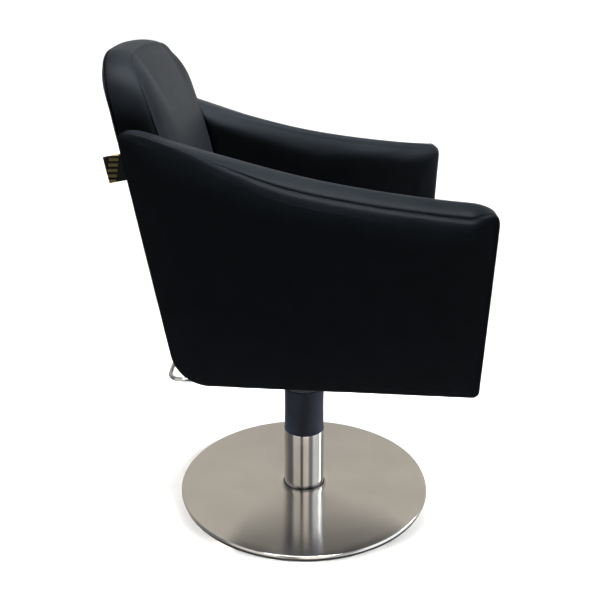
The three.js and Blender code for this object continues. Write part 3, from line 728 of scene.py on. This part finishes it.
def pucker(piece, pad, seam_row, depth, seed):
    """Small gathers in the cover, strongest a little to each side of a seam."""
    strongest, width = 0.006, 0.005
    chance = random.Random(seed)
    seam = pad.line(seam_row)
    waves = np.array([chance.uniform(-1, 1) for _ in range(len(seam))])
    waves = (waves + np.roll(waves, 1) + 0.5 * np.roll(waves, 2)) / 2.5
    points = coordinates(piece)
    nearest, distance = nearest_on(seam, points)
    strength = np.exp(-((distance - strongest) / width) ** 2) * waves[nearest] * depth
    normals = np.zeros(len(points) * 3)
    piece.data.vertex_normals.foreach_get("vector", normals)
    set_coordinates(piece, points + normals.reshape(-1, 3) * strength[:, None])


def tuck_behind_back(piece, side):
    """Presses the arm's inner side outwards where the back sits against it."""
    release, release_start, release_end = 0.032, -0.022, 0.004
    points = coordinates(piece)
    ahead = -points[:, 1] - back_front(points[:, 2])
    limit = BACK_HALF_WIDTH + BACK_SIDE_GAP - release * smooth_step(ahead, release_start, release_end)
    outward = np.where(points[:, 2] < BACK_TOP, np.maximum(side * points[:, 0], limit), side * points[:, 0])
    points[:, 0] = side * outward
    set_coordinates(piece, points)


def seam_thread(name, line, body):
    """A row of small stitches laid along a closed line. The profile is each stitch's (place, swell)."""
    stitch, share, radius = 0.0042, 0.62, 0.00042
    line = np.concatenate([line, line[:1]])
    lengths = np.concatenate([[0], np.cumsum(np.linalg.norm(np.diff(line, axis=0), axis=1))])
    count = int(lengths[-1] / stitch)
    vertices, faces = [], []
    sides, profile = 6, ((0.0, 0.35), (0.18, 0.9), (0.5, 1.0), (0.82, 0.9), (1.0, 0.35))

    def at(distance):
        distance = distance % lengths[-1]
        return Vector([np.interp(distance, lengths, line[:, k]) for k in range(3)])

    for i in range(count):
        first = i * lengths[-1] / count
        start, end = at(first), at(first + stitch * share)
        along = (end - start).normalized()
        across = along.orthogonal().normalized()
        up = along.cross(across)
        base = len(vertices)
        for t, swell in profile:
            middle = start.lerp(end, t)
            for k in range(sides):
                angle = 2 * math.pi * k / sides
                vertices.append(middle + radius * swell * (math.cos(angle) * across + math.sin(angle) * up))
        faces += bar_faces(len(profile), sides, base)
    finished(new_object(name, vertices, faces), body, "upholstery", look="thread")


# ---------------------------------------------------------------- back

BACK_HALF_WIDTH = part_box("back_pad")[1].x
BACK_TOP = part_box("back_pad")[1].z
BACK_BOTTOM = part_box("back_pad")[0].z
BACK_CORNER = 0.100
BACK_FOOT_CORNER = 0.050
FRONT_HEIGHTS = np.array([0.382, 0.540, 0.672, 0.730, 0.789, 0.858, 0.890, 0.912])
FRONT_PLACES = np.array([-0.146, -0.163, -0.190, -0.2040, -0.219, -0.2425, -0.2600, -0.2780])
FRONT_BLUR = (-0.03, -0.015, 0, 0.015, 0.03)
BACK_UPRIGHT_FROM = 0.885
BACK_SWELLS = ((0.0115, 0.69, 0.77), (0.004, 0.77, 0.88))
BACK_COUNTS = (46, 52, 46, 52)


def back_front(z):
    """How far forward the back's front face is, at a height: a smooth line through a few heights."""
    return sum(np.interp(z + step, FRONT_HEIGHTS, FRONT_PLACES) for step in FRONT_BLUR) / len(FRONT_BLUR)


def back_rear(z):
    """How far back its rear face is: raked, upright near the top and rounded at the foot.

    Each of its swells is a depth and the two heights between which it grows."""
    raked = BACK_REAR + REAR_RAKE * (REAR_LEVEL - np.clip(z, None, BACK_UPRIGHT_FROM))
    face = raked - sum(depth * smooth_step(z, low, high) for depth, low, high in BACK_SWELLS)
    foot = np.clip((BACK_BOTTOM + BACK_FOOT_CORNER - z) / BACK_FOOT_CORNER, 0, 1)
    return face + BACK_FOOT_CORNER * 0.9 * (1 - np.sqrt(1 - foot ** 2 * 0.98))


def back_thickness(z):
    return back_front(z) - back_rear(z)


def back_place(a, b, depth):
    return np.stack([a, -(back_front(b) - depth), b], axis=1)


def back_sides():
    """The back's outline as four runs of (across, height), with a slightly arched top."""
    half, foot, arch = BACK_HALF_WIDTH - MM, 0.012, 0.006
    return rounded_sides(half, half, BACK_BOTTOM, BACK_TOP - arch, foot, BACK_CORNER, arch)


# Rows of the back's band, from its front face to its rear face, as for the arms.
BACK_ROWS = [(0, 9.0, 6.0), (0, 10.6, 4.8), (0, 11.4, 5.0), (0, 12.4, 5.6), (0, 13.4, 4.7), (0, 15.0, 3.8),
             (0, 19.0, 2.0), (0.5, 0, 0), (1, -16.0, 0.6), (1, -12.0, 1.2), (1, -9.4, 1.7), (1, -8.2, 4.6),
             (1, -7.0, 2.0), (1, -6.0, 2.2), (1, -4.6, 3.2)]
BACK_SEWN_ROWS = (1, 2, 3, 4, 5, 9, 10, 11, 12, 13)
BACK_GROOVE_ROW = 3
BACK_SEAM_ROW = 11
BACK_FULL_THICKNESS = 0.044


def make_back():
    across, up = BACK_COUNTS[0], BACK_COUNTS[1]
    along = np.linspace(0, 1, across)
    top = 0.5 + 0.5 * (smooth_step(along, 0.0, 0.3) - smooth_step(along, 0.7, 1.0))
    side = 0.5 * smooth_step(np.linspace(0, 1, up), 0.75, 1.0)
    blend = np.concatenate([np.zeros(across), side, top, side[::-1]])
    pad = Pad(back_sides(), BACK_COUNTS, in_metres(BACK_ROWS), back_place, back_thickness,
              front_roll=(0.036, 0.036), rear_roll=(0.014, 0.036), blend=blend,
              shrink=lambda b: np.clip(back_thickness(b) / BACK_FULL_THICKNESS, 0.3, 1))
    piece = pad.build("back_cover", BACK_SEWN_ROWS, [BACK_SEAM_ROW])
    stuffed(piece, pad, pressure=5.0, face_cap=0.0085, band_cap=0.002)
    pucker(piece, pad, BACK_GROOVE_ROW, depth=0.0006, seed=21)
    subdivide(piece)
    finished(piece, "seat", "upholstery", "back_pad")
    seam_thread("back_rear_seam", pad.line(BACK_SEAM_ROW, THREAD_LIFT), "seat")


# ---------------------------------------------------------------- seat cushion and front rail

# Rows of the cushion's band from its top to its underside, and of the front rail's from front to rear.
CUSHION_ROWS = [(0, 7.0, 5.0), (0, 8.4, 4.2), (0, 9.2, 4.4), (0, 10.2, 7.2), (0, 11.2, 4.2), (0, 12.6, 3.4),
                (0, 17.0, 1.2), (0, 24.0, 0), (0, 32.0, 0.2), (1, -7.0, 2.2), (1, -3.5, 5.0)]
CUSHION_SEWN_ROWS = (1, 2, 3, 4, 5, 9, 10)
CUSHION_SEAM_ROW = 3
CUSHION_COUNTS = (56, 50, 56, 50)
APRON_ROWS = [(0, 2.6, 2.2), (0, 4.5, 0.8), (0.5, 0, 0), (1, -4.5, 0.4), (1, -1.5, 1.2), (1, -0.5, 2.5)]
APRON_SEWN_ROWS = (2, 3, 4, 5)
APRON_COUNTS = (60, 10, 60, 10)


def make_seat():
    low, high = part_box("seat_cushion")
    front_half = high.x - MM
    rear_half = front_half - (high.y - low.y) * math.tan(ARM_FLARE)
    rear_corner, front_corner = 0.010, 0.032
    sides = rounded_sides(rear_half, front_half, -high.y, -low.y, rear_corner, front_corner)

    def place(a, b, depth):
        return np.stack([a, -b, high.z - depth], axis=1)

    pad = Pad(sides, CUSHION_COUNTS, in_metres(CUSHION_ROWS), place,
              lambda b: np.full_like(b, high.z - low.z), front_roll=(0.026, 0.026), rear_roll=(0.010, 0.010))
    piece = pad.build("seat_cover", CUSHION_SEWN_ROWS, [CUSHION_SEAM_ROW])
    stuffed(piece, pad, pressure=5.0, face_cap=0.009, band_cap=0.0025)
    points = coordinates(piece)
    points[:, 2] = np.maximum(points[:, 2], low.z)
    set_coordinates(piece, points)
    pucker(piece, pad, CUSHION_SEAM_ROW, depth=0.0006, seed=31)
    subdivide(piece)
    finished(piece, "seat", "upholstery", "seat_cushion")
    seam_thread("seat_seam", pad.line(CUSHION_SEAM_ROW, THREAD_LIFT), "seat")


def make_apron():
    """The padded cover of the front rail."""
    low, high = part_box("seat_apron")
    corner = 0.004
    sides = rounded_sides(high.x, high.x, low.z, high.z, corner, corner)

    def place(a, b, depth):
        return np.stack([a, low.y + depth, b], axis=1)

    pad = Pad(sides, APRON_COUNTS, in_metres(APRON_ROWS), place,
              lambda b: np.full_like(b, high.y - low.y), front_roll=(0.008, 0.008), rear_roll=(0.003, 0.003))
    piece = pad.build("seat_front_cover", APRON_SEWN_ROWS)
    stuffed(piece, pad, pressure=4.0, face_cap=0.002, band_cap=0.001)
    subdivide(piece)
    finished(piece, "seat", "upholstery", "seat_apron")


# ---------------------------------------------------------------- label tab

def make_label():
    """A folded woven tab: two layers with an open end at the seam and a rounded fold."""
    low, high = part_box("label_tab")
    middle_x = (low.x + high.x) / 2
    lean = math.atan(REAR_RAKE)
    width, root, height, fold, fold_start, curl_depth = 0.025, 0.014, 0.041, 0.0011, 0.9, 0.0012
    columns, levels = 10, 12
    section = []
    for layer, t_range in ((1, range(columns + 1)), (-1, range(columns, -1, -1))):
        for t in t_range:
            share = t / columns
            bulge = fold * math.sqrt(max(0.0, 1 - max(0.0, (share - fold_start) / (1 - fold_start)) ** 2))
            section.append((share * (width + root) - root, layer * bulge))
    centre = (low + high) / 2
    vertices = []
    for level in range(levels + 1):
        up = (level / levels - 0.5) * height
        curl = curl_depth * math.sin(math.pi * level / levels)
        for along, out in section:
            y = along - width / 2
            sway = curl * (along / width) ** 2
            vertices.append((middle_x + out - sway,
                             centre.y + y * math.cos(lean) + up * math.sin(lean),
                             centre.z + up * math.cos(lean) - y * math.sin(lean)))
    piece = new_object("woven_tab", vertices, bar_faces(levels + 1, len(section)))
    finished(piece, "seat", "label_tape", "label_tab")


# ---------------------------------------------------------------- base, column and foot hoop

def make_base():
    """The spun cover: a thin sheet with a hole for the tube and a rolled rim."""
    low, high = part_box("base_cover")
    radius, top, bottom = high.x, high.z, low.z
    gap, edge, sheet, roll = 0.0003, 0.0004, 0.0014, 0.0026
    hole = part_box("column_tube")[1].x + gap
    profile = [(hole, top - sheet), (hole, top - edge), (hole + edge, top)]
    profile += [(hole + (radius - roll - hole) * i / 12, top) for i in range(1, 12)]
    for i in range(13):
        angle = math.pi / 2 * (1 - i / 12)
        profile.append((radius - roll + roll * math.cos(angle), top - roll + roll * math.sin(angle)))
    profile += [(radius, bottom + edge), (radius - edge, bottom), (radius - sheet, bottom),
                (radius - sheet, top - roll - MM)]
    for i in range(1, 9):
        angle = math.pi / 2 * i / 8
        inner = roll - sheet
        profile.append((radius - roll + inner * math.cos(angle), top - roll + inner * math.sin(angle)))
    finished(turned("disc_cover", profile, 288), "base", "base_cover", "base_cover")


def make_column():
    """The tube and the sleeve. The rows along each wall keep its shading straight up to the rounded ends."""
    low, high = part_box("column_tube")
    radius, wall, edge, lip_width, lip_depth = high.x, 0.0012, 0.0005, 0.0002, 0.0003
    profile = [(radius - wall, low.z), (radius - edge, low.z), (radius, low.z + edge)]
    profile += [(radius, low.z + 2 * edge + (high.z - low.z - 4 * edge) * i / 12) for i in range(13)]
    profile += [(radius, high.z - edge), (radius - edge * 0.3, high.z - edge * 0.3), (radius - edge, high.z),
                (radius - wall + lip_width, high.z), (radius - wall, high.z - lip_depth)]
    finished(turned("outer_tube", profile), "base", "chrome", "column_tube")
    low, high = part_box("column_sleeve")
    radius, wall, foot, brim = high.x, 0.0017, 0.0006, 0.0008
    start, end = low.z + 2 * foot, high.z - 2 * brim
    profile = [(radius - wall, low.z), (radius - foot, low.z), (radius, low.z + foot)]
    profile += [(radius, start + (end - start) * i / 12) for i in range(13)]
    profile += [(radius, high.z - brim), (radius - brim, high.z), (radius - wall, high.z)]
    finished(turned("inner_sleeve", profile), "seat", "sleeve", "column_sleeve")


def make_hoop():
    """The foot hoop: two legs side by side that open into a wide flat loop. Its run is one half."""
    low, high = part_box("lever_hoop")
    bar = (high.z - low.z) / 2
    height = (low.z + high.z) / 2
    half = high.x - bar
    rear = high.y - bar
    leg, front = 0.009, low.y
    run = Path((leg, front))
    run.line((leg, front + 0.018))
    run.through([(leg + 0.003, front + 0.030), (0.032, 0.130), (0.054, 0.158), (half - 0.001, 0.186),
                 (half, 0.222), (half - 0.005, rear - 0.014), (half - 0.020, rear - 0.002),
                 (half - 0.038, rear), (0, rear)])
    points = run.sampled(110)
    both = [(x, y, height) for x, y in points] + [(-x, y, height) for x, y in points[-2::-1]]
    finished(round_bar("foot_hoop", both, bar), "lever", "chrome", "lever_hoop")


# ---------------------------------------------------------------- studio

def area_light(name, place, target, width, height, power, color, spread, shows):
    """A rectangular light whose width runs level. It shows on surfaces, in reflections or in both."""
    data = bpy.data.lights.new(name, "AREA")
    data.shape = "RECTANGLE"
    data.size, data.size_y = width, height
    data.energy, data.color = power, color
    data.spread = math.radians(spread)
    light = bpy.data.objects.new(name, data)
    along = (Vector(target) - Vector(place)).normalized()
    level = along.cross(Vector((0, 0, 1)))
    level = level.normalized() if level.length > 0.01 else Vector((0, 1, 0))
    light.matrix_world = Matrix((level, level.cross(along) * -1, -along)).transposed().to_4x4()
    light.location = place
    light.visible_camera = False
    light.visible_glossy = shows != "surfaces"
    light.visible_diffuse = shows != "reflections"
    scene.collection.objects.link(light)


def make_stage():
    """A pale floor that curves up into a low backdrop behind the chair. It doesn't show in reflections."""
    near, far, bend, rise, half_width = -6.0, 4.2, 0.8, 1.1, 12.0
    run = [(near, 0.0), (far - bend, 0.0)]
    run += [(far - bend + bend * math.sin(a), bend - bend * math.cos(a))
            for a in (math.pi / 2 * i / 16 for i in range(1, 17))]
    run.append((far, rise))
    vertices = [(x, y, z) for x, z in run for y in (-half_width, half_width)]
    faces = [(2 * i, 2 * i + 1, 2 * i + 3, 2 * i + 2) for i in range(len(run) - 1)]
    mesh = bpy.data.meshes.new("floor")
    mesh.from_pydata(vertices, [], faces)
    shade_smooth(mesh)
    floor = bpy.data.objects.new("floor", mesh)
    scene.collection.objects.link(floor)
    made = plain_material("studio_floor", (0.80, 0.80, 0.80), (0.84, 0.84, 0.84), 0.85, 0.95, 4, 0.02,
                          Specular_IOR_Level=0.1)
    mesh.materials.append(made)
    floor.visible_glossy = False


# The walls that the chair reflects: an angle about the Z axis from -X, growing towards -Y, and the colour.
WORLD_RING = [
    (-180, 0.50, 0.48, 0.45), (-150, 0.60, 0.57, 0.51), (-95, 0.16, 0.16, 0.17), (-70, 0.16, 0.16, 0.17),
    (-60, 0.86, 0.83, 0.80), (-24, 0.86, 0.83, 0.80), (-18, 0.14, 0.14, 0.15), (-8, 0.14, 0.14, 0.15),
    (-2, 1.05, 0.98, 0.90), (22, 1.20, 1.16, 1.10), (30, 0.40, 0.40, 0.42), (45, 0.30, 0.31, 0.34),
    (58, 1.20, 1.26, 1.35), (104, 1.20, 1.26, 1.35), (120, 0.40, 0.41, 0.42), (150, 0.60, 0.57, 0.51),
    (180, 0.50, 0.48, 0.45),
]
CEILING_COLOR = (0.45, 0.46, 0.48, 1)
CEILING_EDGE = {"From Min": 0.60, "From Max": 0.85}


def make_world():
    """A soft room seen in reflections: a ring of pale and dark walls round the chair and a grey ceiling."""
    world = bpy.data.worlds.new("studio")
    scene.world = world
    world.use_nodes = True
    background = world.node_tree.nodes["Background"]
    place = node(world, "ShaderNodeTexCoord").outputs["Generated"]
    parts = node(world, "ShaderNodeSeparateXYZ", {"Vector": place}).outputs
    to_camera, to_front = [maths(world, "MULTIPLY", parts[axis], -1) for axis in "XY"]
    angle = maths(world, "ARCTAN2", to_front, to_camera)
    spread = node(world, "ShaderNodeMapRange", {"From Min": -math.pi, "From Max": math.pi, "Value": angle})
    ring = node(world, "ShaderNodeValToRGB", {"Fac": spread.outputs["Result"]})
    marks = ring.color_ramp.elements
    for _ in WORLD_RING[2:]:
        marks.new(0.5)
    for mark, (degrees, *color) in zip(marks, WORLD_RING):
        mark.position = (degrees + 180) / 360
        mark.color = (*color, 1)
    ceiling = node(world, "ShaderNodeMapRange", {**CEILING_EDGE, "Value": parts["Z"]})
    mix = node(world, "ShaderNodeMix", {"Factor": ceiling.outputs["Result"], "A": ring.outputs["Color"],
                                        "B": CEILING_COLOR}, data_type="RGBA")
    world.node_tree.links.new(mix.outputs["Result"], background.inputs["Color"])
    background.inputs["Strength"].default_value = 1.0
    world.cycles_visibility.diffuse = False


WHITE, WARM, COOL, SKY = (1.0, 0.99, 0.97), (1.0, 0.80, 0.63), (0.9, 0.95, 1.0), (0.86, 0.92, 1.0)
# Each light: name, place, target, width, height, watts, colour, spread in degrees and what it shows on.
LIGHTS = [
    ("floor_light", (2.3, 0, 3.2), (2.3, 0, 0), 8.0, 3.6, 110, WHITE, 34, "surfaces"),
    ("backdrop_light", (2.6, 0, 2.2), (4.2, 0, 0.5), 8.0, 0.6, 50, WHITE, 110, "surfaces"),
    ("near_floor_light", (0.0, 0, 3.2), (0.0, 0, 0), 4.0, 1.4, 22, WHITE, 24, "surfaces"),
    ("left_floor_light", (0.1, 1.6, 0.66), (0.1, 0, 0), 2.0, 0.35, 4.4, WHITE, 10, "surfaces"),
    ("right_floor_light", (0.1, -1.6, 0.66), (0.1, 0, 0), 2.0, 0.35, 4.4, WHITE, 10, "surfaces"),
    ("room_light", (-3.7, 0, 3.0), (-3.7, 0, 0), 9.0, 4.2, 18, WHITE, 50, "surfaces"),
    ("front_room_light", (0.2, -4.9, 3.4), (0.2, -4.9, 0), 6.0, 9.0, 170, WHITE, 75, "surfaces"),
    ("rear_room_light", (0.2, 4.9, 3.4), (0.2, 4.9, 0), 6.0, 9.0, 170, WHITE, 75, "surfaces"),
    ("key_light", (0.0, -0.17, 2.6), (0, -0.17, 0), 0.9, 0.5, 33, WARM, 8, "surfaces"),
    ("ceiling_light", (-0.6, 0, 2.8), (-0.3, 0, 0.7), 2.0, 0.6, 110, COOL, 180, "reflections"),
    ("window_light", (0.75, -2.6, 1.55), (0, 0, 0.5), 0.4, 1.4, 16, SKY, 180, "both"),
]

CAMERA_PLACE = (-1.504, 0.0, 0.9756)
CAMERA_PITCH = math.radians(20.23)
CAMERA_TURN = math.radians(0.33)
CAMERA_LENS, SENSOR_WIDTH = 48.8, 36.0


def make_camera():
    """The camera at the photograph's viewing angle, on the chair's right side and looking down at it."""
    data = bpy.data.cameras.new("camera")
    data.sensor_width, data.lens = SENSOR_WIDTH, CAMERA_LENS
    data.clip_start, data.clip_end = 0.05, 60
    camera = bpy.data.objects.new("camera", data)
    camera.location = CAMERA_PLACE
    level = math.cos(CAMERA_PITCH)
    look = Vector((math.cos(CAMERA_TURN) * level, math.sin(CAMERA_TURN) * level, -math.sin(CAMERA_PITCH)))
    camera.rotation_mode = "QUATERNION"
    camera.rotation_quaternion = look.to_track_quat("-Z", "Y")
    scene.collection.objects.link(camera)
    scene.camera = camera


make_arms()
make_back()
make_seat()
make_apron()
make_label()
make_base()
make_column()
make_hoop()
make_stage()
make_world()
for light_settings in LIGHTS:
    area_light(*light_settings)
make_camera()
scene.view_settings.view_transform = "Standard"
